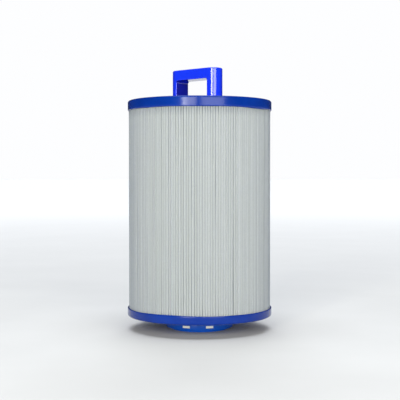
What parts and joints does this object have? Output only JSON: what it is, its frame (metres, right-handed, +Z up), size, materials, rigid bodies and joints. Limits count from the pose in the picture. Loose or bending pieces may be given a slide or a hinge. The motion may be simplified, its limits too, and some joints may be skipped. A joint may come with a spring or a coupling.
{
  "type": "pleated filter cartridge",
  "caption": "Pleated cylindrical filter cartridge with cast end caps, a rigid loop handle on top and a stepped outlet neck with snap windows below.",
  "frame": {"origin": "centre of the outlet ring's bottom face, on which the cartridge stands", "axes": "+Z up the cartridge's axis from the outlet to the handle, +X along the handle's bar"},
  "size_m": [0.1524, 0.1524, 0.2745],
  "materials": {
    "cap_urethane": "cast, soft satin gloss",
    "handle_plastic": "moulded, glossy",
    "neck_plastic": "moulded, glossy",
    "media_fabric": "point-bonded spun polyester",
    "core_plastic": "moulded, matte",
    "hot_melt": "smooth, slightly translucent"
  },
  "bodies": {
    "root": {"lift_handle": "handle_plastic", "top_end_cap": "cap_urethane", "pleated_media": "media_fabric", "seam_bead": "hot_melt", "core_tube": "core_plastic", "bottom_end_cap": "cap_urethane", "outlet_adapter": "neck_plastic"}
  },
  "joints": []
}
